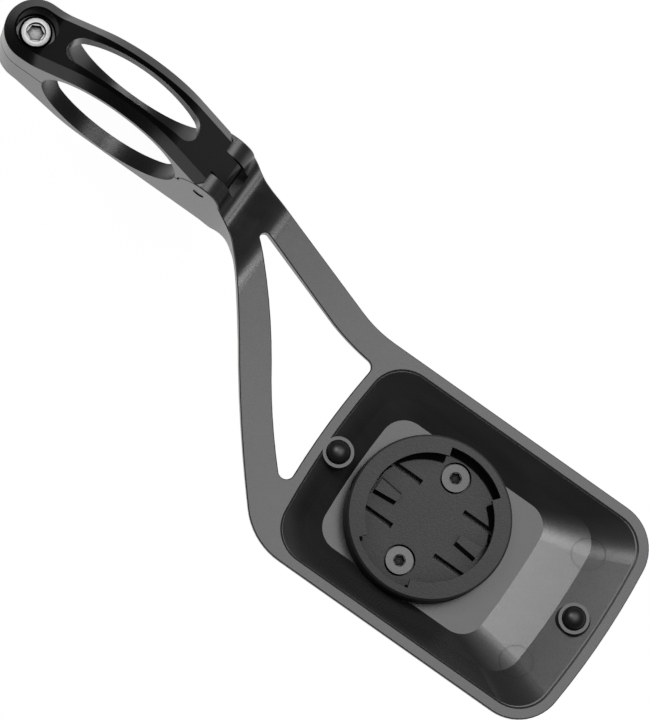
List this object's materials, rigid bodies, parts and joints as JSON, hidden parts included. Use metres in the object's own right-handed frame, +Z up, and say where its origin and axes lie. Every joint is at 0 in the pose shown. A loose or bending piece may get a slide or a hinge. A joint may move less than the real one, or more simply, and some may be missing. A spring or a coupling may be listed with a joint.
{
  "type": "cycling computer mount",
  "caption": "Handlebar mount with a hinged clamp, two legs and a tray whose quarter-turn socket holds a cycling computer.",
  "frame": {"origin": "centre of the handlebar bore, midway across the clamp", "axes": "+X forward towards the tray, +Y along the handlebar, +Z up out of the tray"},
  "size_m": [0.1647, 0.0639, 0.0375],
  "materials": {
    "anodised_black": "satin black anodised",
    "moulded_black": "fine-grained moulded",
    "bright_steel": "turned stainless",
    "grey_steel": "dull zinc-coated",
    "dark_steel": "oiled",
    "rubber_black": "smooth, slightly glossy"
  },
  "bodies": {
    "mount": {"mount_body": "anodised_black", "hinge_pin": "dark_steel", "thread_bush": "dark_steel", "quarter_turn_insert": "moulded_black", "insert_screws": "grey_steel", "rear_bumper": "rubber_black", "front_bumper": "rubber_black"},
    "cap": {"clamp_cap": "anodised_black"},
    "washer": {"bolt_washer": "dark_steel"},
    "bolt": {"clamp_bolt": "bright_steel"}
  },
  "joints": [
    {"name": "cap_hinge", "type": "hinge", "parent": "mount", "child": "cap", "pos_m": [0.0216, 0, 0], "axis": [0, 1, 0], "range_deg": [0, 60]},
    {"name": "bolt_travel", "type": "slide", "parent": "cap", "child": "washer", "axis": [0, 0, 1], "range_m": [0, 0.0056]},
    {"name": "bolt_turn", "type": "hinge", "parent": "washer", "child": "bolt", "pos_m": [-0.0223, 0, 0.003], "axis": [0, 0, 1], "range_deg": [0, 2880]}
  ],
  "couplings": [
    {"joint": "bolt_turn", "follows": "bolt_travel", "rad_per_m": 8976}
  ]
}
